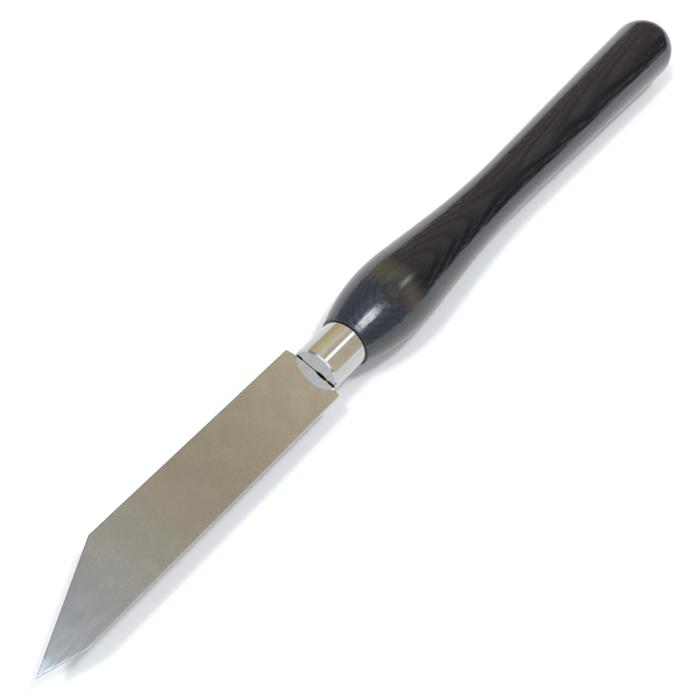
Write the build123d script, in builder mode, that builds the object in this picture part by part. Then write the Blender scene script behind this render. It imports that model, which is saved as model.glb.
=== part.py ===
from math import acos, asin, atan2, cos, degrees, sin
import os

from build123d import *

# Woodturning parting tool, in millimetres. It lies as it comes to rest: on the bulge and the
# butt of its handle, with the blade level across and clear of the surface at z = 0.
# X runs from the tip to the butt, Z is up, and the long bevel is on the +Y edge.

# Blade: one flat bar with two ground bevels at the tip and a tang behind its shoulders
blade_width = 25.0
blade_thickness = 1.6
blade_length = 141.8
tip_off_centre = 7.7
long_bevel_run = 42.5
short_bevel_run = 16.4
edge_break = 0.15
shoulder_relief = 0.7
shoulder_relief_width = 3.4
shoulder_round = 0.8
tang_width = 11.5
tang_end_width = 8.0
tang_length = 100.5
tang_root_round = 0.6
blade_off_axis = 0.26
blade_skew = 0.39

# Ferrule: a drawn cap with a slot across its closed end
ferrule_diameter = 18.76
ferrule_length = 17.7
ferrule_wall = 1.0
ferrule_face_wall = 2.0
ferrule_rim_chamfer = 0.6
ferrule_mouth_break = 0.2
slot_length = 17.4
lip_bow_off_axis = 2.7
lip_bow_width = 5.6
lip_bow_rise = 0.85

# Handle: turned in one piece, with a spigot inside the ferrule. Behind the bulge its outline is
# two straight lines that would meet in the valley, where a large radius makes the waist
handle_front_diameter = 21.3
handle_front_round = 1.3
bulge_from_front = 29.9
bulge_diameter = 31.2
bulge_band = 0.35
bulge_rear_radius = 90.0
valley_from_bulge = 61.8
valley_diameter = 20.92
waist_radius = 440.0
butt_from_valley = 133.1
butt_diameter = 27.6
spigot_chamfer = 0.5

# Fits
shoulder_gap = 0.5
slot_clearance = 0.3
spigot_clearance = 0.05
socket_clearance = 0.05

# Places along the axis, measured from the ferrule's end face
handle_front = ferrule_length
bulge_at = handle_front + bulge_from_front
valley_at = bulge_at + valley_from_bulge
butt_at = valley_at + butt_from_valley
shoulder_at = -shoulder_gap
tip_at = shoulder_at - blade_length
tang_end_at = shoulder_at + tang_length
spigot_front = ferrule_face_wall + spigot_clearance

# Lie of the tool: the axis drops towards the butt, which is thinner than the bulge
drop_angle = asin((bulge_diameter - butt_diameter) / 2 / (butt_at - bulge_at))
drop_sin = sin(drop_angle)
drop_cos = cos(drop_angle)
axis_height = butt_diameter / 2 + butt_at * drop_sin
centre_shift = -((tip_at + butt_at) * drop_cos + butt_diameter / 2) / 2

along = Vector(drop_cos, 0, -drop_sin)
up = Vector(drop_sin, 0, drop_cos)
face_centre = Vector(centre_shift, 0, axis_height)
blade_along = along.rotate(Axis((0, 0, 0), up), -blade_skew)
blade_plane = Plane(origin=face_centre + Vector(0, blade_off_axis, 0), x_dir=blade_along, z_dir=up)
profile_plane = Plane(origin=face_centre, x_dir=along, z_dir=(0, -1, 0))
face_plane = Plane(origin=face_centre, x_dir=(0, 1, 0), z_dir=along)
tool_axis = Axis(origin=face_centre, direction=along)


def tang_outline(clearance):
    """Outline of the tang from the shoulders to its end, widened by a clearance on each side."""
    half_root = tang_width / 2 + clearance
    half_end = tang_end_width / 2 + clearance
    end_at = tang_end_at + clearance
    return [
        (shoulder_at, -half_root),
        (end_at, -half_end),
        (end_at, half_end),
        (shoulder_at, half_root),
    ]


def touch_point(centre, radius, valley, turn):
    """Where a line from the valley touches an arc: turn is 1 before the valley, -1 behind it."""
    to_valley = valley - centre
    angle = atan2(to_valley.Y, to_valley.X) + turn * acos(radius / to_valley.length)
    return centre + Vector(radius * cos(angle), radius * sin(angle))


with BuildPart() as blade:
    half_width = blade_width / 2
    with BuildSketch(blade_plane.offset(-blade_thickness / 2)) as blade_outline:
        with BuildLine():
            Polyline(
                (tip_at, -tip_off_centre),
                (tip_at + short_bevel_run, -half_width),
                (shoulder_at - shoulder_relief, -half_width),
                (shoulder_at, -half_width + shoulder_relief_width),
                *tang_outline(0),
                (shoulder_at, half_width - shoulder_relief_width),
                (shoulder_at - shoulder_relief, half_width),
                (tip_at + long_bevel_run, half_width),
                close=True,
            )
        make_face()
        fillet(blade_outline.vertices().group_by(Axis.X)[-2].sort_by(Axis.Y)[1:3], tang_root_round)
        rounded_corner = (shoulder_at - shoulder_relief, half_width)
        fillet(blade_outline.vertices().sort_by_distance(rounded_corner)[0], shoulder_round)
    extrude(amount=blade_thickness)
    long_edges = blade.edges().filter_by(Axis(face_centre, blade_along))
    fillet(long_edges, edge_break)
blade.part.label = "blade"

with BuildPart() as ferrule:
    outer_radius = ferrule_diameter / 2
    bore_radius = outer_radius - ferrule_wall
    with BuildSketch(profile_plane):
        with BuildLine():
            Polyline(
                (0, 0),
                (0, outer_radius - ferrule_rim_chamfer),
                (ferrule_rim_chamfer, outer_radius),
                (ferrule_length - ferrule_mouth_break, outer_radius),
                (ferrule_length, outer_radius - ferrule_mouth_break),
                (ferrule_length, bore_radius),
                (ferrule_face_wall, bore_radius),
                (ferrule_face_wall, 0),
                close=True,
            )
        make_face()
    revolve(axis=tool_axis)
    slot_height = blade_thickness + 2 * slot_clearance
    with BuildSketch(face_plane):
        SlotOverall(slot_length, slot_height)
        with BuildLine():
            lip_left = (-lip_bow_off_axis - lip_bow_width / 2, slot_height / 2)
            lip_right = (-lip_bow_off_axis + lip_bow_width / 2, slot_height / 2)
            ThreePointArc(lip_left, (-lip_bow_off_axis, slot_height / 2 + lip_bow_rise), lip_right)
            Polyline(lip_right, (-lip_bow_off_axis, 0), lip_left)
        make_face()
    extrude(amount=ferrule_face_wall, mode=Mode.SUBTRACT)
ferrule.part.label = "ferrule"

with BuildPart() as handle:
    spigot_radius = bore_radius - spigot_clearance
    bulge_radius = bulge_diameter / 2
    butt_radius = butt_diameter / 2
    front = Vector(handle_front, handle_front_diameter / 2)
    bulge = Vector(bulge_at, bulge_radius)
    bulge_rear = bulge + Vector(bulge_band, 0)
    valley = Vector(valley_at, valley_diameter / 2)
    flank = touch_point(bulge_rear - Vector(0, bulge_rear_radius), bulge_rear_radius, valley, 1)
    butt_side = touch_point(Vector(butt_at, 0), butt_radius, valley, -1)
    butt_end = Vector(butt_at + butt_radius, 0)
    with BuildSketch(profile_plane) as turned_profile:
        with BuildLine():
            Polyline(
                (spigot_front, 0),
                (spigot_front, spigot_radius - spigot_chamfer),
                (spigot_front + spigot_chamfer, spigot_radius),
                (handle_front, spigot_radius),
                front,
            )
            TangentArc(bulge, front, tangent=(-1, 0))
            Line(bulge, bulge_rear)
            TangentArc(bulge_rear, flank, tangent=(1, 0))
            Polyline(flank, valley, butt_side)
            TangentArc(butt_side, butt_end, tangent=butt_side - valley)
            Line(butt_end, (spigot_front, 0))
        make_face()
        fillet(turned_profile.vertices().sort_by_distance(front)[0], handle_front_round)
        fillet(turned_profile.vertices().sort_by_distance(valley)[0], waist_radius)
    revolve(axis=tool_axis)
    with BuildSketch(blade_plane.offset(-blade_thickness / 2 - socket_clearance)):
        with BuildLine():
            Polyline(*tang_outline(socket_clearance), close=True)
        make_face()
    extrude(amount=blade_thickness + 2 * socket_clearance, mode=Mode.SUBTRACT)
handle.part.label = "handle"

os.makedirs("parts", exist_ok=True)
export_step(blade.part, "parts/blade.step")
export_step(ferrule.part, "parts/ferrule.step")
export_step(handle.part, "parts/handle.step")

print(f"axis drops {degrees(drop_angle):.2f} degrees, ferrule face centre {face_centre}")
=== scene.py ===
"""Woodturning parting tool: a thin ground blade in a slotted bright ferrule on a turned black handle.

It lies on its handle on a white surface, with the blade level across and clear of the surface.
"""

import math

import bmesh
import bpy
from mathutils import Matrix, Vector


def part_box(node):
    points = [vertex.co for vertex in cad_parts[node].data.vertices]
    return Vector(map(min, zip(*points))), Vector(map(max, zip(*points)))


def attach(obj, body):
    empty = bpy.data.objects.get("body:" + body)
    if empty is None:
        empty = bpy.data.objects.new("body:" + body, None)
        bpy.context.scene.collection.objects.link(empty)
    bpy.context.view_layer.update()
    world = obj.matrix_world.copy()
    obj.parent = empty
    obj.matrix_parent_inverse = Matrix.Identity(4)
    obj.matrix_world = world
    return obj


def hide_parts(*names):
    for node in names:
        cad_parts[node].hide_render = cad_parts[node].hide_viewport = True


MM = 0.001

# Turned handle, in millimetres along the tool's axis from the ferrule's end face
FERRULE_LENGTH = 17.7
SPIGOT_FRONT = 2.05
SPIGOT_DIAMETER = 16.66
SPIGOT_ROUND = 0.5
FRONT_DIAMETER = 20.4
FRONT_ROUND = 0.5
BULGE_FROM_FRONT = 29.9
BULGE_DIAMETER = 31.2
BULGE_BAND = 0.35
BULGE_REAR_RADIUS = 90.0
VALLEY_FROM_BULGE = 61.8
VALLEY_DIAMETER = 20.92
WAIST_RADIUS = 440.0
BUTT_FROM_VALLEY = 133.1
BUTT_DIAMETER = 27.6

# Socket for the tang inside the handle, in millimetres
SOCKET_MOUTH_WIDTH = 11.6
SOCKET_END_WIDTH = 8.1
SOCKET_HEIGHT = 1.7
SOCKET_END = 100.05
SOCKET_SIDE_SHIFT = 0.26
SOCKET_SKEW = math.radians(0.39)

# View: where the camera stands, in metres, the picture's right and down in the part's frame, and the
# lens, by the sensor's width in millimetres and the focal length and picture width in pixels
CAMERA_PLACE = Vector((-0.299467, -0.059311, 0.411450))
CAMERA_RIGHT = Vector((0.593772, -0.753530, 0.282188))
CAMERA_DOWN = Vector((-0.592639, -0.646770, -0.480067))
SENSOR_WIDTH = 36.0
FOCAL_PIXELS = 1332.0
PICTURE_PIXELS = 700.0

# Lamps: distance and direction from the tool's middle, sides in metres along X and across it, and
# power in watts
LAMP_DISTANCE = 2.4
LAMP_COLOUR = (0.86, 0.93, 1.0)
KEY_DIRECTION = Vector((-0.55, 0.28, 1.0))
KEY_SIDES = (0.34, 0.34)
KEY_POWER = 27.5
TOP_DIRECTION = Vector((0.03, -0.08, 1.0))
TOP_SIDES = (0.24, 0.24)
TOP_POWER = 19.0
GLARE_DIRECTION = Vector((0.035, -0.10, 1.0))
GLARE_SIDES = (0.66, 1.05)
GLARE_POWER = 18.5
SPARK_DIRECTION = Vector((0.55, -0.085, 0.83))
SPARK_SIDES = (0.36, 0.44)
SPARK_POWER = 1.10

# Surroundings, by the direction in which they are seen: the ceiling's colour along X, from the
# window's side to the side past the butt, the colour by height of the wall beside the long bevel,
# and the other walls, the window, the dark places and the pale sweep beside the short bevel
CEILING = (
    (-0.80, (0.55, 0.60, 0.68)),
    (-0.66, (0.60, 0.66, 0.74)),
    (-0.58, (1.80, 2.00, 2.20)),
    (-0.48, (1.80, 2.00, 2.20)),
    (-0.38, (0.55, 0.62, 0.74)),
    (0.00, (0.58, 0.70, 0.92)),
    (0.24, (0.62, 0.73, 0.92)),
    (0.30, (0.44, 0.49, 0.59)),
    (0.35, (0.57, 0.57, 0.545)),
    (0.41, (0.52, 0.47, 0.38)),
    (0.45, (0.51, 0.45, 0.34)),
    (0.53, (0.72, 0.65, 0.51)),
    (0.68, (0.48, 0.41, 0.38)),
)
LEFT_WALL = (
    (0.00, (0.74, 0.62, 0.40)),
    (0.25, (0.88, 0.74, 0.43)),
    (0.45, (0.95, 0.80, 0.49)),
    (0.60, (1.00, 0.90, 0.64)),
    (0.72, (1.07, 1.02, 0.80)),
    (0.80, (1.18, 1.18, 1.02)),
)
RIGHT_WALL = (0.95, 0.84, 0.63)
NEAR_WALL = (0.40, 0.47, 0.60)
WINDOW_WALL = (0.36, 0.39, 0.43)
WINDOW = (1.50, 1.62, 1.75)
DARK_END = (0.34, 0.285, 0.265)
DARK_SIDE = (0.13, 0.115, 0.14)
SWEEP_COLOUR = (1.24, 1.32, 1.48)

# Where the surroundings blend into each other: from and to, along X, along Y or up
CEILING_EDGE = (0.76, 0.83)
RIGHT_WALL_EDGE = (-0.20, 0.10)
NEAR_WALL_EDGE = (0.50, 0.40)
WINDOW_WALL_EDGE = (-0.30, -0.60)
WINDOW_EDGE = (-0.72, -0.78)
WINDOW_SILL = (0.25, 0.40)
DARK_END_EDGE = (0.55, 0.68)
DARK_SIDE_EDGE = (-0.08, -0.38)
SWEEP_EDGE = (-0.10, -0.25)
SWEEP_TOP = (0.20, 0.16)

# White surface: its colour, the light it gives off towards the camera and in reflections, and its
# side in metres
FLOOR_COLOUR = (0.945, 0.90, 0.845)
FLOOR_GLOW = 0.04
FLOOR_SIDE = 12.0

# How finely the turned handle is cut, with its lengths in millimetres
CORNER_STEPS = 24
LONGEST_STEP = 2.0
MERGE_DISTANCE = 0.002
TURN_STEPS = 144
SHARP_ANGLE = math.radians(35)

# Grown wood, in millimetres: where the pith lies beside the handle and how it leans, the rings and
# how they wander, and the pores and fibres
PITH_SIDE = 8.0
PITH_HEIGHT = -52.0
PITH_LEAN = 0.015
RING_SPACING = 0.95
RING_WANDER = 2.4
PORE_WIDTH = 0.36
PORE_STRETCH = 26.0
FIBRE_WIDTH = 0.7
FIBRE_LENGTH = 26.0

# Black finish of the wood: its colours, its gloss, its relief in millimetres, and how far inside the
# ferrule the stain starts to thin and how far inside it ends, in millimetres
STAIN_COLOUR = (0.0030, 0.0031, 0.0046)
RING_COLOUR = (0.0110, 0.0100, 0.0105)
PORE_COLOUR = (0.003, 0.003, 0.003)
PORE_STRENGTH = 0.5
BARE_WOOD = (0.50, 0.38, 0.25)
LACQUER_IOR = 1.76
LACQUER_ROUGHNESS = (0.07, 0.13)
PORE_ROUGHNESS = 0.14
RING_RELIEF = 0.009
PORE_RELIEF = 0.018
FIBRE_RELIEF = 0.034
STAIN_ENDS = (0.3, 0.8)

# Blade, in millimetres: its outline before the shoulders, where the painted highlight at the tip starts and
# ends, how wide the painted highlight and shade lines at its edges are, and up to where behind the tip the
# painted shade on its bevels' sides is strongest
BLADE_LENGTH = 141.8
BLADE_WIDTH = 25.0
TIP_OFF_CENTRE = 7.7
LONG_BEVEL_RUN = 42.5
SHORT_BEVEL_RUN = 16.4
SHOULDER_GAP = 0.5
TIP_HIGHLIGHT_START = 1.0
TIP_HIGHLIGHT_END = 8.0
EDGE_LINE = 0.40
BEVELS_END = 20.0
BEVELS_FADE = 2.0

# Ground steel: its colour, and the patches on it by size in millimetres, spread, strength and colour
STEEL_COLOUR = (0.61, 0.585, 0.54)
STEEL_PATCHES = (
    (9.0, 0.75, 0.70, (0.53, 0.525, 0.48)),
    (17.0, 0.60, 0.50, (0.60, 0.555, 0.50)),
    (2.0, 0.25, 0.35, (0.44, 0.41, 0.37)),
)
STEEL_ROUGHNESS = (0.09, 0.14)

# Grinding grain and lines, in millimetres, and the colour and the greatest strength of both
GRAIN_LENGTH = 0.9
GRAIN_WIDTH = 0.5
GRAIN_COLOUR = (0.46, 0.44, 0.40)
GRAIN_STRENGTH = 0.35
SCRATCH_LENGTH = 12.0
SCRATCH_WIDTH = 0.45
SCRATCH_COLOUR = (0.50, 0.48, 0.44)
SCRATCH_STRENGTH = 0.30
SCRATCH_DEPTH = 0.0012

# Blade's tip with its painted highlight, the painted highlight line and painted shade line at its edges
# with the share of them that has their full strength, and the painted shade on its steep sides: how steep
# they are, as the upward part of their direction from which on and at which a face counts fully as one, and
# how strong the painted shade is behind the tip and at it
TIP_HIGHLIGHT_COLOUR = (0.78, 0.79, 0.81)
SHADE_LINE_COLOUR = (0.16, 0.16, 0.15)
SHADE_LINE_CORE = 0.4
SHADE_LINE_STRENGTH = 0.45
HIGHLIGHT_LINE_COLOUR = (0.86, 0.83, 0.78)
HIGHLIGHT_LINE_CORE = 0.6
SIDE_LEAN = (0.75, 0.45)
SIDE_SHADE_COLOUR = (0.14, 0.14, 0.14)
SIDE_SHADE_STRENGTH = (0.80, 0.95)

# Ferrule's plating, with its lengths in millimetres: the film on it and its drawn lines
PLATE_COLOUR = (0.515, 0.51, 0.50)
PLATE_ROUGHNESS = (0.12, 0.19)
FILM_SIZE = 5.0
FILM_SPREAD = 0.5
FILM_COLOUR = (0.49, 0.468, 0.42)
FILM_STRENGTH = 0.6
DRAWN_LENGTH = 30.0
DRAWN_WIDTH = 0.22
DRAWN_COLOUR = (0.41, 0.40, 0.385)
DRAWN_STRENGTH = 0.40
DRAWN_DEPTH = 0.0012


def new_node(tree, kind, **settings):
    """Node of one kind in a tree, with its properties set."""
    node = tree.nodes.new(kind)
    for name, value in settings.items():
        setattr(node, name, value)
    return node


def feed(tree, socket, value):
    """Links a socket to another one, or sets it to a plain value."""
    if isinstance(value, bpy.types.NodeSocket):
        tree.links.new(value, socket)
    else:
        socket.default_value = value


def compute(tree, operation, *values):
    """Math node on numbers or sockets, and the socket that holds its result."""
    node = new_node(tree, "ShaderNodeMath", operation=operation)
    for socket, value in zip(node.inputs, values):
        feed(tree, socket, value)
    return node.outputs[0]


def ramp(tree, value, start, end, low=0.0, high=1.0):
    """Smooth step of a value from low at the start to high at the end."""
    node = new_node(tree, "ShaderNodeMapRange", interpolation_type="SMOOTHSTEP")
    for name, number in (("From Min", start), ("From Max", end), ("To Min", low), ("To Max", high)):
        feed(tree, node.inputs[name], number)
    feed(tree, node.inputs["Value"], value)
    return node.outputs["Result"]


def blend_colours(tree, share, first, second):
    """Mix of two colours, given as sockets or plain colours, by the share of the second."""
    node = new_node(tree, "ShaderNodeMix", data_type="RGBA")
    feed(tree, node.inputs["Factor"], share)
    for name, colour in (("A", first), ("B", second)):
        socket = next(item for item in node.inputs if item.name == name and item.type == "RGBA")
        feed(tree, socket, (*colour, 1.0) if isinstance(colour, tuple) else colour)
    return next(item for item in node.outputs if item.type == "RGBA")


def new_group(name, inputs, outputs):
    """Shader node group with float and vector sockets: the tree, what it is given and its result."""
    tree = bpy.data.node_groups.new(name, "ShaderNodeTree")
    for socket_name, kind in inputs.items():
        tree.interface.new_socket(socket_name, in_out="INPUT", socket_type="NodeSocket" + kind)
    for socket_name, kind in outputs.items():
        tree.interface.new_socket(socket_name, in_out="OUTPUT", socket_type="NodeSocket" + kind)
    return tree, new_node(tree, "NodeGroupInput").outputs, new_node(tree, "NodeGroupOutput").inputs


def place_group(tree, group, **values):
    """Group node in a material, with its inputs fed by name, and its outputs."""
    node = new_node(tree, "ShaderNodeGroup", node_tree=group)
    for name, value in values.items():
        feed(tree, node.inputs[name.replace("_", " ").title()], value)
    return node.outputs


# Turned handle


def turned_piece_tree():
    """Geometry nodes that round a half outline's corners and turn it about the X axis."""
    tree = bpy.data.node_groups.new("turned_piece", "GeometryNodeTree")
    face = tree.interface
    face.new_socket("Outline", in_out="INPUT", socket_type="NodeSocketGeometry")
    face.new_socket("Corner Steps", in_out="INPUT", socket_type="NodeSocketInt")
    face.new_socket("Longest Step", in_out="INPUT", socket_type="NodeSocketFloat")
    face.new_socket("Turn Steps", in_out="INPUT", socket_type="NodeSocketInt")
    face.new_socket("Material", in_out="INPUT", socket_type="NodeSocketMaterial")
    face.new_socket("Piece", in_out="OUTPUT", socket_type="NodeSocketGeometry")
    given = new_node(tree, "NodeGroupInput").outputs
    result = new_node(tree, "NodeGroupOutput").inputs

    # Each outline point's radius says how far its corner is rounded
    rounded = new_node(tree, "GeometryNodeFilletCurve", mode="POLY")
    feed(tree, rounded.inputs["Curve"], given["Outline"])
    feed(tree, rounded.inputs["Radius"], new_node(tree, "GeometryNodeInputRadius").outputs[0])
    feed(tree, rounded.inputs["Limit Radius"], True)
    feed(tree, rounded.inputs["Count"], given["Corner Steps"])

    # Long straight stretches are cut to the longest step
    index = new_node(tree, "GeometryNodeInputIndex").outputs[0]
    place = new_node(tree, "GeometryNodeInputPosition").outputs[0]
    following = new_node(tree, "GeometryNodeFieldAtIndex", data_type="FLOAT_VECTOR", domain="POINT")
    feed(tree, following.inputs["Index"], compute(tree, "ADD", index, 1.0))
    feed(tree, following.inputs["Value"], place)
    gap = new_node(tree, "ShaderNodeVectorMath", operation="DISTANCE")
    feed(tree, gap.inputs[0], place)
    feed(tree, gap.inputs[1], following.outputs[0])
    cuts = compute(tree, "FLOOR", compute(tree, "DIVIDE", gap.outputs["Value"], given["Longest Step"]))
    divided = new_node(tree, "GeometryNodeSubdivideCurve")
    feed(tree, divided.inputs["Curve"], rounded.outputs["Curve"])
    feed(tree, divided.inputs["Cuts"], cuts)

    # One row of the grid for each outline point, one column for each step of the turn
    counted = new_node(tree, "GeometryNodeAttributeDomainSize", component="CURVE")
    feed(tree, counted.inputs["Geometry"], divided.outputs["Curve"])
    columns = compute(tree, "ADD", given["Turn Steps"], 1.0)
    grid = new_node(tree, "GeometryNodeMeshGrid")
    feed(tree, grid.inputs["Vertices X"], counted.outputs["Point Count"])
    feed(tree, grid.inputs["Vertices Y"], columns)
    row = compute(tree, "FLOOR", compute(tree, "DIVIDE", compute(tree, "ADD", index, 0.5), columns))
    column = compute(tree, "SUBTRACT", index, compute(tree, "MULTIPLY", row, columns))
    turn = compute(tree, "MULTIPLY", compute(tree, "DIVIDE", column, given["Turn Steps"]), math.tau)

    outline_place = new_node(tree, "GeometryNodeSampleIndex", data_type="FLOAT_VECTOR", domain="POINT")
    feed(tree, outline_place.inputs["Geometry"], divided.outputs["Curve"])
    feed(tree, outline_place.inputs["Value"], place)
    feed(tree, outline_place.inputs["Index"], row)
    outline_point = new_node(tree, "ShaderNodeSeparateXYZ")
    feed(tree, outline_point.inputs[0], outline_place.outputs[0])
    turned_place = new_node(tree, "ShaderNodeCombineXYZ")
    feed(tree, turned_place.inputs["X"], outline_point.outputs["X"])
    feed(tree, turned_place.inputs["Y"], compute(tree, "MULTIPLY", outline_point.outputs["Y"],
                                                 compute(tree, "SINE", turn)))
    feed(tree, turned_place.inputs["Z"], compute(tree, "MULTIPLY", outline_point.outputs["Y"],
                                                 compute(tree, "COSINE", turn)))
    turned = new_node(tree, "GeometryNodeSetPosition")
    feed(tree, turned.inputs["Geometry"], grid.outputs["Mesh"])
    feed(tree, turned.inputs["Position"], turned_place.outputs[0])

    closed = new_node(tree, "GeometryNodeMergeByDistance")
    feed(tree, closed.inputs["Geometry"], turned.outputs["Geometry"])
    feed(tree, closed.inputs["Distance"], MERGE_DISTANCE * MM)
    real = new_node(tree, "GeometryNodeRealizeInstances")
    feed(tree, real.inputs["Geometry"], closed.outputs["Geometry"])
    finished = new_node(tree, "GeometryNodeSetMaterial")
    feed(tree, finished.inputs["Geometry"], real.outputs["Geometry"])
    feed(tree, finished.inputs["Material"], given["Material"])
    feed(tree, result["Piece"], finished.outputs["Geometry"])
    return tree


def handle_outline():
    """Corners of the handle's half outline: place on the axis, radius, and how far each is rounded.

    The front curve, the bulge's rear, the waist and the butt are corners with large rounds.
    """
    front = Vector((FERRULE_LENGTH, FRONT_DIAMETER / 2))
    bulge = Vector((FERRULE_LENGTH + BULGE_FROM_FRONT, BULGE_DIAMETER / 2))
    valley = Vector((bulge.x + VALLEY_FROM_BULGE, VALLEY_DIAMETER / 2))
    butt_centre = Vector((valley.x + BUTT_FROM_VALLEY, 0.0))
    butt_radius = BUTT_DIAMETER / 2

    rise = bulge.y - front.y
    front_radius = (BULGE_FROM_FRONT ** 2 + rise ** 2) / (2 * rise)
    front_corner = Vector((bulge.x - front_radius * rise / BULGE_FROM_FRONT, bulge.y))

    rear_centre = Vector((bulge.x + BULGE_BAND, bulge.y - BULGE_REAR_RADIUS))
    flank_slope = tangent_slope(rear_centre, BULGE_REAR_RADIUS, valley, 1)
    rear_corner = Vector((valley.x + (bulge.y - valley.y) / flank_slope, bulge.y))

    butt_slope = tangent_slope(butt_centre, butt_radius, valley, -1)
    butt_end = butt_centre.x + butt_radius
    butt_corner = Vector((butt_end, valley.y + butt_slope * (butt_end - valley.x)))

    spigot_radius = SPIGOT_DIAMETER / 2
    return [
        (Vector((SPIGOT_FRONT, 0.0)), 0.0),
        (Vector((SPIGOT_FRONT, spigot_radius)), SPIGOT_ROUND),
        (Vector((FERRULE_LENGTH, spigot_radius)), 0.0),
        (front, FRONT_ROUND),
        (front_corner, front_radius),
        (rear_corner, BULGE_REAR_RADIUS),
        (valley, WAIST_RADIUS),
        (butt_corner, butt_radius),
        (Vector((butt_end, 0.0)), 0.0),
    ]


def tangent_slope(centre, radius, valley, turn):
    """Slope of the line from the valley that touches a circle, with turn 1 before it and -1 behind it."""
    to_valley = valley - centre
    angle = math.atan2(to_valley.y, to_valley.x) + turn * math.acos(radius / to_valley.length)
    touch = centre + radius * Vector((math.cos(angle), math.sin(angle)))
    return (touch.y - valley.y) / (touch.x - valley.x)


def outline_curve(name, corners):
    """Poly curve through the corners, in metres, with each corner's rounding as an attribute."""
    data = bpy.data.curves.new(name, "CURVE")
    data.dimensions = "3D"
    spline = data.splines.new("POLY")
    spline.points.add(len(corners) - 1)
    for point, (place, rounding) in zip(spline.points, corners):
        point.co = (place.x * MM, place.y * MM, 0.0, 1.0)
        point.radius = rounding * MM
    curve = bpy.data.objects.new(name, data)
    bpy.context.collection.objects.link(curve)
    return curve


def solid_mesh(name, mesh):
    """Object with the mesh, its faces turned outwards."""
    work = bmesh.new()
    work.from_mesh(mesh)
    bmesh.ops.recalc_face_normals(work, faces=work.faces)
    work.to_mesh(mesh)
    work.free()
    mesh.name = name
    piece = bpy.data.objects.new(name, mesh)
    bpy.context.collection.objects.link(piece)
    return piece


def turn_piece(name, corners, material):
    """Mesh of a half outline turned about the X axis."""
    curve = outline_curve(name, corners)
    tree = turned_piece_tree()
    modifier = curve.modifiers.new("turned", "NODES")
    modifier.node_group = tree
    sockets = {item.name: item.identifier for item in tree.interface.items_tree}
    modifier[sockets["Corner Steps"]] = CORNER_STEPS
    modifier[sockets["Longest Step"]] = LONGEST_STEP * MM
    modifier[sockets["Turn Steps"]] = TURN_STEPS
    modifier[sockets["Material"]] = material
    evaluated = curve.evaluated_get(bpy.context.evaluated_depsgraph_get())
    mesh = bpy.data.meshes.new_from_object(evaluated)
    bpy.data.objects.remove(curve)
    return mesh


def tool_frame():
    """Matrix from the tool's own axis, which starts at the ferrule's face, to the part's frame."""
    bulge_at = FERRULE_LENGTH + BULGE_FROM_FRONT
    butt_at = bulge_at + VALLEY_FROM_BULGE + BUTT_FROM_VALLEY
    drop = math.asin((BULGE_DIAMETER - BUTT_DIAMETER) / 2 / (butt_at - bulge_at))
    butt_radius = BUTT_DIAMETER / 2
    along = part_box("handle")[1][0] - (butt_radius + butt_at * math.cos(drop)) * MM
    height = (butt_radius + butt_at * math.sin(drop)) * MM
    return Matrix.Translation((along, 0.0, height)) @ Matrix.Rotation(drop, 4, "Y")


def cut_socket(piece):
    """Cuts the tang's socket into a handle that still lies along X."""
    half_mouth = SOCKET_MOUTH_WIDTH / 2
    half_end = SOCKET_END_WIDTH / 2
    half_height = SOCKET_HEIGHT / 2
    outline = [(0.0, -half_mouth), (SOCKET_END, -half_end), (SOCKET_END, half_end), (0.0, half_mouth)]
    work = bmesh.new()
    corners = [work.verts.new((x * MM, y * MM, -half_height * MM)) for x, y in outline]
    raised = bmesh.ops.extrude_face_region(work, geom=[work.faces.new(corners)])["geom"]
    top_corners = [item for item in raised if isinstance(item, bmesh.types.BMVert)]
    bmesh.ops.translate(work, vec=Vector((0.0, 0.0, SOCKET_HEIGHT * MM)), verts=top_corners)
    mesh = bpy.data.meshes.new("socket")
    work.to_mesh(mesh)
    work.free()
    cutter = solid_mesh("socket", mesh)
    skew = Matrix.Rotation(-SOCKET_SKEW, 4, "Z")
    mesh.transform(Matrix.Translation((0.0, SOCKET_SIDE_SHIFT * MM, 0.0)) @ skew)
    cut = piece.modifiers.new("socket", "BOOLEAN")
    cut.object = cutter
    cut.operation = "DIFFERENCE"
    cut.solver = "EXACT"
    evaluated = piece.evaluated_get(bpy.context.evaluated_depsgraph_get())
    piece.data = bpy.data.meshes.new_from_object(evaluated)
    piece.modifiers.clear()
    bpy.data.objects.remove(cutter)


def make_handle(material):
    """Turned handle with its spigot and socket, in the place of the plain solid."""
    handle = solid_mesh("turned_handle", turn_piece("handle_outline", handle_outline(), material))
    cut_socket(handle)
    handle.data.polygons.foreach_set("use_smooth", [True] * len(handle.data.polygons))
    handle.data.set_sharp_from_angle(angle=SHARP_ANGLE)
    handle.data.transform(tool_frame())
    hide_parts("handle")
    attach(handle, "root")


# Effects that the finishes share


def scaled(tree, vector, along, across):
    """Vector scaled by one factor along X and another one across it."""
    factors = new_node(tree, "ShaderNodeCombineXYZ")
    for name, factor in (("X", along), ("Y", across), ("Z", across)):
        feed(tree, factors.inputs[name], factor)
    node = new_node(tree, "ShaderNodeVectorMath", operation="MULTIPLY")
    feed(tree, node.inputs[0], vector)
    feed(tree, node.inputs[1], factors.outputs[0])
    return node.outputs[0]


def noise(tree, vector, detail, roughness):
    """Noise at unit scale, from 0 to 1."""
    node = new_node(tree, "ShaderNodeTexNoise")
    feed(tree, node.inputs["Vector"], vector)
    for name, value in (("Scale", 1.0), ("Detail", detail), ("Roughness", roughness)):
        feed(tree, node.inputs[name], value)
    return node.outputs["Fac"]


def streaks_group():
    """Fine lines along X, given their width and length in metres."""
    tree, given, result = new_group(
        "streaks", {"Vector": "Vector", "Width": "Float", "Length": "Float"}, {"Value": "Float"})
    vector = scaled(tree, given["Vector"], compute(tree, "DIVIDE", 1.0, given["Length"]),
                    compute(tree, "DIVIDE", 1.0, given["Width"]))
    feed(tree, result["Value"], noise(tree, vector, 3.0, 0.6))
    return tree


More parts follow.
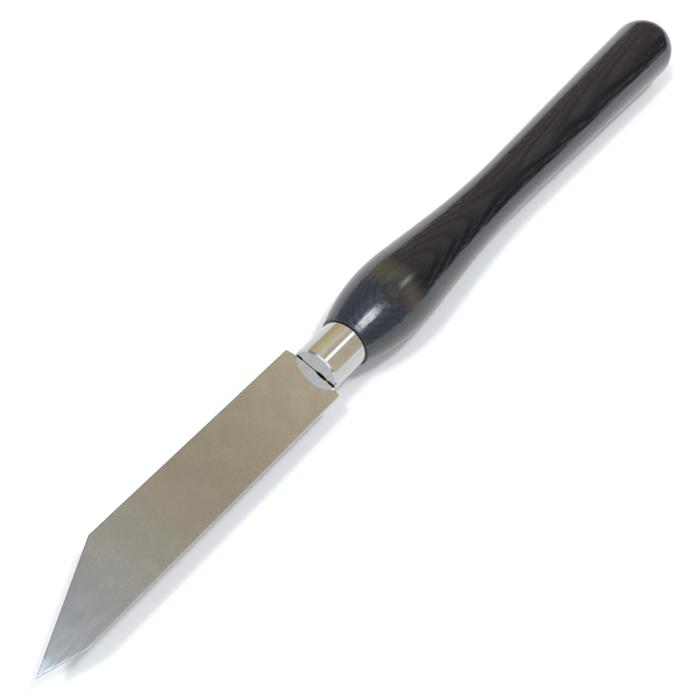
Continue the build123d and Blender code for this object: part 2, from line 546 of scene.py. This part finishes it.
def patches_group():
    """Soft clouds, given their size in metres, and how much of the surface they spread over."""
    tree, given, result = new_group(
        "patches", {"Vector": "Vector", "Size": "Float", "Spread": "Float"}, {"Value": "Float"})
    factor = compute(tree, "DIVIDE", 1.0, given["Size"])
    value = noise(tree, scaled(tree, given["Vector"], factor, factor), 4.0, 0.55)
    edge = compute(tree, "SUBTRACT", 0.72, compute(tree, "MULTIPLY", given["Spread"], 0.45))
    feed(tree, result["Value"], ramp(tree, value, edge, compute(tree, "ADD", edge, 0.18)))
    return tree


def wood_group():
    """Growth rings round a pith beside the blank, and the open pores that follow them."""
    tree, given, result = new_group(
        "grown_wood", {"Vector": "Vector", "Ring Spacing": "Float", "Pore Width": "Float"},
        {"Ring": "Float", "Pores": "Float"})
    wander = noise(tree, scaled(tree, given["Vector"], 7.0, 40.0), 2.0, 0.45)
    spot = new_node(tree, "ShaderNodeSeparateXYZ")
    feed(tree, spot.inputs[0], given["Vector"])
    side = compute(tree, "SUBTRACT", spot.outputs["Y"], PITH_SIDE * MM)
    height = compute(tree, "SUBTRACT", spot.outputs["Z"], PITH_HEIGHT * MM)
    distance = compute(tree, "SQRT", compute(tree, "ADD", compute(tree, "MULTIPLY", side, side),
                                             compute(tree, "MULTIPLY", height, height)))
    leaning = compute(tree, "MULTIPLY_ADD", spot.outputs["X"], PITH_LEAN, distance)
    bent = compute(tree, "MULTIPLY_ADD", wander, RING_WANDER * MM, leaning)
    turns = compute(tree, "FRACT", compute(tree, "DIVIDE", bent, given["Ring Spacing"]))
    fading = ramp(tree, turns, 0.30, 1.0, 1.0, 0.0)
    ring = compute(tree, "MULTIPLY", ramp(tree, turns, 0.0, 0.25), fading)
    width = given["Pore Width"]
    length = compute(tree, "MULTIPLY", width, PORE_STRETCH)
    pore_vector = scaled(tree, given["Vector"], compute(tree, "DIVIDE", 1.0, length),
                         compute(tree, "DIVIDE", 1.0, width))
    pores = ramp(tree, noise(tree, pore_vector, 1.0, 0.4), 0.56, 0.66)
    feed(tree, result["Ring"], ring)
    feed(tree, result["Pores"], compute(tree, "MULTIPLY", pores, ramp(tree, ring, 0.05, 0.7, 0.25, 1.0)))
    return tree


# Finishes


def new_material(name):
    """Material with one Principled shader: itself, its tree, the shader and the place on the piece."""
    material = bpy.data.materials.new(name)
    material.use_nodes = True
    tree = material.node_tree
    place = new_node(tree, "ShaderNodeTexCoord").outputs["Object"]
    return material, tree, tree.nodes["Principled BSDF"], place


def bump(tree, height, distance, normal=None):
    """Bump from a height of 0 to 1 over a distance in metres."""
    node = new_node(tree, "ShaderNodeBump")
    feed(tree, node.inputs["Height"], height)
    feed(tree, node.inputs["Distance"], distance)
    if normal:
        feed(tree, node.inputs["Normal"], normal)
    return node.outputs["Normal"]


def black_wood(groups):
    """Black stained wood, polished but with its grain and pores still open, and bare under the ferrule."""
    material, tree, shader, place = new_material("black_wood")
    wood = place_group(tree, groups["wood"], vector=place, ring_spacing=RING_SPACING * MM,
                       pore_width=PORE_WIDTH * MM)
    fibre = place_group(tree, groups["streaks"], vector=place, width=FIBRE_WIDTH * MM,
                        length=FIBRE_LENGTH * MM)["Value"]
    stain = blend_colours(tree, wood["Ring"], STAIN_COLOUR, RING_COLOUR)
    stain = blend_colours(tree, compute(tree, "MULTIPLY", wood["Pores"], PORE_STRENGTH), stain, PORE_COLOUR)
    spot = new_node(tree, "ShaderNodeSeparateXYZ")
    feed(tree, spot.inputs[0], place)
    mouth = tool_frame().translation.x + FERRULE_LENGTH * MM
    covered = ramp(tree, spot.outputs["X"], *(mouth - depth * MM for depth in STAIN_ENDS))
    feed(tree, shader.inputs["Base Color"], blend_colours(tree, covered, stain, BARE_WOOD))
    rough = ramp(tree, fibre, 0.3, 0.7, *LACQUER_ROUGHNESS)
    rough = compute(tree, "MULTIPLY_ADD", wood["Pores"], PORE_ROUGHNESS, rough)
    feed(tree, shader.inputs["Roughness"], rough)
    shader.inputs["IOR"].default_value = LACQUER_IOR
    relief = bump(tree, wood["Ring"], RING_RELIEF * MM)
    relief = bump(tree, compute(tree, "SUBTRACT", 1.0, wood["Pores"]), PORE_RELIEF * MM, relief)
    feed(tree, shader.inputs["Normal"], bump(tree, fibre, FIBRE_RELIEF * MM, relief))
    return material


def edge_distance(tree, place):
    """Distance in millimetres from the blade's lower and upper edges in the picture, and place along it."""
    mapping = new_node(tree, "ShaderNodeMapping", vector_type="TEXTURE")
    feed(tree, mapping.inputs["Vector"], place)
    shoulder_at = tool_frame().translation.x - SHOULDER_GAP * MM
    mapping.inputs["Location"].default_value = (shoulder_at, SOCKET_SIDE_SHIFT * MM, 0.0)
    mapping.inputs["Rotation"].default_value = (0.0, 0.0, -SOCKET_SKEW)
    mapping.inputs["Scale"].default_value = (MM, MM, MM)
    spot = new_node(tree, "ShaderNodeSeparateXYZ")
    feed(tree, spot.inputs[0], mapping.outputs[0])
    tip = Vector((-BLADE_LENGTH, -TIP_OFF_CENTRE))
    half = BLADE_WIDTH / 2
    depths = []
    for turn, bevel_run in ((1, SHORT_BEVEL_RUN), (-1, LONG_BEVEL_RUN)):
        corner = Vector((-BLADE_LENGTH + bevel_run, -turn * half))
        bevel = (corner - tip).normalized()
        nearest = None
        for inward in (Vector((0.0, turn)), turn * Vector((-bevel.y, bevel.x))):
            steps = compute(tree, "MULTIPLY", spot.outputs["X"], inward.x)
            steps = compute(tree, "MULTIPLY_ADD", spot.outputs["Y"], inward.y, steps)
            depth = compute(tree, "SUBTRACT", steps, corner.dot(inward))
            nearest = depth if nearest is None else compute(tree, "MINIMUM", nearest, depth)
        depths.append(nearest)
    return depths[0], depths[1], spot.outputs["X"]


def ground_steel(groups):
    """Ground steel with faint stains, painted highlights at the tip and along one edge, and painted shade
    along the other edge and on the steep sides.
    """
    material, tree, shader, place = new_material("ground_steel")
    lower, upper, along = edge_distance(tree, place)
    scratches = place_group(tree, groups["streaks"], vector=place, width=SCRATCH_WIDTH * MM,
                            length=SCRATCH_LENGTH * MM)["Value"]
    steel = STEEL_COLOUR
    for size, spread, strength, colour in STEEL_PATCHES:
        patch = place_group(tree, groups["patches"], vector=place, size=size * MM, spread=spread)["Value"]
        steel = blend_colours(tree, compute(tree, "MULTIPLY", patch, strength), steel, colour)
    grain = noise(tree, scaled(tree, place, 1 / (GRAIN_LENGTH * MM), 1 / (GRAIN_WIDTH * MM)), 2.0, 0.7)
    grain = ramp(tree, grain, 0.35, 0.65, 0.0, GRAIN_STRENGTH)
    steel = blend_colours(tree, grain, steel, GRAIN_COLOUR)
    lines = ramp(tree, scratches, 0.25, 0.75, 0.0, SCRATCH_STRENGTH)
    steel = blend_colours(tree, lines, steel, SCRATCH_COLOUR)
    # Painted highlight: the steel turns lighter and bluer towards the tip
    tip_highlight = ramp(tree, along, TIP_HIGHLIGHT_END - BLADE_LENGTH, TIP_HIGHLIGHT_START - BLADE_LENGTH)
    steel = blend_colours(tree, tip_highlight, steel, TIP_HIGHLIGHT_COLOUR)
    facing = new_node(tree, "ShaderNodeSeparateXYZ")
    feed(tree, facing.inputs[0], new_node(tree, "ShaderNodeNewGeometry").outputs["Normal"])
    side = ramp(tree, facing.outputs["Z"], *SIDE_LEAN)
    # Painted shade: a dark line on the flat face along the upper edge in the picture
    shade_line = ramp(tree, upper, EDGE_LINE, SHADE_LINE_CORE * EDGE_LINE)
    shade_line = compute(tree, "MULTIPLY", shade_line, SHADE_LINE_STRENGTH)
    steel = blend_colours(tree, shade_line, steel, SHADE_LINE_COLOUR)
    # Painted highlight: a light line on the flat face along the lower edge in the picture
    highlight_line = ramp(tree, lower, EDGE_LINE, HIGHLIGHT_LINE_CORE * EDGE_LINE)
    highlight_line = compute(tree, "MULTIPLY", highlight_line, ramp(tree, side, 0.9, 0.1))
    steel = blend_colours(tree, highlight_line, steel, HIGHLIGHT_LINE_COLOUR)
    # Painted shade: the steep side faces turn dark, most of all behind the tip
    bevels_end = BEVELS_END - BLADE_LENGTH
    side_shade_strength = ramp(tree, along, bevels_end, bevels_end - BEVELS_FADE, *SIDE_SHADE_STRENGTH)
    steel = blend_colours(tree, compute(tree, "MULTIPLY", side, side_shade_strength), steel, SIDE_SHADE_COLOUR)
    feed(tree, shader.inputs["Base Color"], steel)
    shader.inputs["Metallic"].default_value = 1.0
    feed(tree, shader.inputs["Roughness"], ramp(tree, scratches, 0.3, 0.7, *STEEL_ROUGHNESS))
    feed(tree, shader.inputs["Normal"], bump(tree, scratches, SCRATCH_DEPTH * MM))
    return material


def plated_steel(groups):
    """Bright plating with a faint film and drawn lines along it."""
    material, tree, shader, place = new_material("plated_steel")
    lines = place_group(tree, groups["streaks"], vector=place, width=DRAWN_WIDTH * MM,
                        length=DRAWN_LENGTH * MM)["Value"]
    film = place_group(tree, groups["patches"], vector=place, size=FILM_SIZE * MM,
                       spread=FILM_SPREAD)["Value"]
    film = compute(tree, "MULTIPLY", film, FILM_STRENGTH)
    plate = blend_colours(tree, film, PLATE_COLOUR, FILM_COLOUR)
    drawn = ramp(tree, lines, 0.25, 0.75, 0.0, DRAWN_STRENGTH)
    feed(tree, shader.inputs["Base Color"], blend_colours(tree, drawn, plate, DRAWN_COLOUR))
    shader.inputs["Metallic"].default_value = 1.0
    feed(tree, shader.inputs["Roughness"], ramp(tree, lines, 0.3, 0.7, *PLATE_ROUGHNESS))
    feed(tree, shader.inputs["Normal"], bump(tree, lines, DRAWN_DEPTH * MM))
    return material


def white_surface():
    """White floor that keeps the shadow and is just white where it is lit."""
    material = bpy.data.materials.new("white_surface")
    material.use_nodes = True
    tree = material.node_tree
    tree.nodes.clear()
    diffuse = new_node(tree, "ShaderNodeBsdfDiffuse")
    diffuse.inputs["Color"].default_value = (*FLOOR_COLOUR, 1.0)
    path = new_node(tree, "ShaderNodeLightPath")
    mirrored = compute(tree, "MAXIMUM", path.outputs["Is Glossy Ray"], path.outputs["Is Transmission Ray"])
    seen = compute(tree, "MAXIMUM", path.outputs["Is Camera Ray"], mirrored)
    glow = new_node(tree, "ShaderNodeEmission")
    feed(tree, glow.inputs["Strength"], compute(tree, "MULTIPLY", seen, FLOOR_GLOW))
    both = new_node(tree, "ShaderNodeAddShader")
    feed(tree, both.inputs[0], diffuse.outputs[0])
    feed(tree, both.inputs[1], glow.outputs[0])
    output = new_node(tree, "ShaderNodeOutputMaterial")
    feed(tree, output.inputs["Surface"], both.outputs[0])
    return material


# Surroundings


def place_camera():
    """Camera at the photograph's viewpoint."""
    data = bpy.data.cameras.new("camera")
    camera = bpy.data.objects.new("camera", data)
    bpy.context.collection.objects.link(camera)
    right = CAMERA_RIGHT.normalized()
    up = -(CAMERA_DOWN - CAMERA_DOWN.dot(right) * right).normalized()
    turn = Matrix((right, up, right.cross(up))).transposed().to_4x4()
    camera.matrix_world = Matrix.Translation(CAMERA_PLACE) @ turn
    data.sensor_width = SENSOR_WIDTH
    data.lens = SENSOR_WIDTH * FOCAL_PIXELS / PICTURE_PIXELS
    data.clip_start = 0.01
    bpy.context.scene.camera = camera


def place_lamp(name, direction, sides, power):
    """Area lamp that looks at the tool's middle from a direction, with its first side along X."""
    data = bpy.data.lights.new(name, "AREA")
    data.shape = "RECTANGLE"
    data.size, data.size_y = sides
    data.energy = power
    data.color = LAMP_COLOUR
    lamp = bpy.data.objects.new(name, data)
    bpy.context.collection.objects.link(lamp)
    back = direction.normalized()
    across = Vector((0.0, 1.0, 0.0)).cross(back).normalized()
    turn = Matrix((across, back.cross(across), back)).transposed().to_4x4()
    lamp.matrix_world = Matrix.Translation(back * LAMP_DISTANCE) @ turn
    return lamp


def colour_stops(tree, value, stops, scale=1.0, shift=0.0):
    """Colour ramp through stops of a place and a colour, their places scaled and shifted to 0 to 1."""
    node = new_node(tree, "ShaderNodeValToRGB")
    feed(tree, node.inputs["Fac"], value)
    while len(node.color_ramp.elements) < len(stops):
        node.color_ramp.elements.new(1.0)
    for element, (place, colour) in zip(node.color_ramp.elements, stops):
        element.position = shift + scale * place
        element.color = (*colour, 1.0)
    return node.outputs["Color"]


def surroundings():
    """World seen in the metal and the gloss: its colour by direction, with Z up."""
    world = bpy.data.worlds.new("surroundings")
    world.use_nodes = True
    tree = world.node_tree
    direction = new_node(tree, "ShaderNodeSeparateXYZ")
    feed(tree, direction.inputs[0], new_node(tree, "ShaderNodeTexCoord").outputs["Generated"])
    x, y, z = direction.outputs
    ceiling = colour_stops(tree, compute(tree, "MULTIPLY_ADD", x, 0.5, 0.5), CEILING, 0.5, 0.5)
    left_wall = colour_stops(tree, z, LEFT_WALL)
    wall = blend_colours(tree, ramp(tree, y, *RIGHT_WALL_EDGE), RIGHT_WALL, left_wall)
    wall = blend_colours(tree, ramp(tree, x, *NEAR_WALL_EDGE), wall, NEAR_WALL)
    wall = blend_colours(tree, ramp(tree, x, *WINDOW_WALL_EDGE), wall, WINDOW_WALL)
    window = compute(tree, "MULTIPLY", ramp(tree, x, *WINDOW_EDGE), ramp(tree, z, *WINDOW_SILL))
    wall = blend_colours(tree, window, wall, WINDOW)
    past_butt = ramp(tree, x, *DARK_END_EDGE)
    wall = blend_colours(tree, past_butt, wall, DARK_END)
    room = blend_colours(tree, ramp(tree, z, *CEILING_EDGE), wall, ceiling)
    to_side = compute(tree, "MULTIPLY", ramp(tree, y, *DARK_SIDE_EDGE), past_butt)
    room = blend_colours(tree, to_side, room, DARK_SIDE)
    sweep = compute(tree, "MULTIPLY", ramp(tree, z, *SWEEP_TOP), ramp(tree, y, *SWEEP_EDGE))
    room = blend_colours(tree, sweep, room, SWEEP_COLOUR)
    feed(tree, tree.nodes["Background"].inputs["Color"], room)
    bpy.context.scene.world = world


def light_scene():
    """Four lamps in their surroundings.

    The shadows come from the first two. The third is the highlight on the handle's bulge, and the
    last one the line on the ferrule.
    """
    place_lamp("key", KEY_DIRECTION, KEY_SIDES, KEY_POWER).visible_glossy = False
    place_lamp("top", TOP_DIRECTION, TOP_SIDES, TOP_POWER).visible_glossy = False
    place_lamp("glare", GLARE_DIRECTION, GLARE_SIDES, GLARE_POWER).visible_diffuse = False
    place_lamp("spark", SPARK_DIRECTION, SPARK_SIDES, SPARK_POWER)
    surroundings()


def lay_floor():
    """White plane under the tool."""
    data = bpy.data.meshes.new("floor")
    half = FLOOR_SIDE / 2
    corners = [(-half, -half, 0), (half, -half, 0), (half, half, 0), (-half, half, 0)]
    data.from_pydata(corners, [], [(0, 1, 2, 3)])
    data.materials.append(white_surface())
    floor = bpy.data.objects.new("floor", data)
    bpy.context.collection.objects.link(floor)


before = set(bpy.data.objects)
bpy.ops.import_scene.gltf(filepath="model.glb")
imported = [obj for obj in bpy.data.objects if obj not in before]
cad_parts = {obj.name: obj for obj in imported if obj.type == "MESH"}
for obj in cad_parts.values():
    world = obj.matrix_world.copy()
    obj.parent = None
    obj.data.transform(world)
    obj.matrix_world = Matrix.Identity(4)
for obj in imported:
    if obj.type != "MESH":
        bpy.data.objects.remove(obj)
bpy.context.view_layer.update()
bpy.context.scene.view_settings.view_transform = "Standard"

place_camera()
light_scene()
lay_floor()

effects = {"streaks": streaks_group(), "patches": patches_group(), "wood": wood_group()}
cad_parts["blade"].material_slots[0].material = ground_steel(effects)
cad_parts["ferrule"].material_slots[0].material = plated_steel(effects)
make_handle(black_wood(effects))
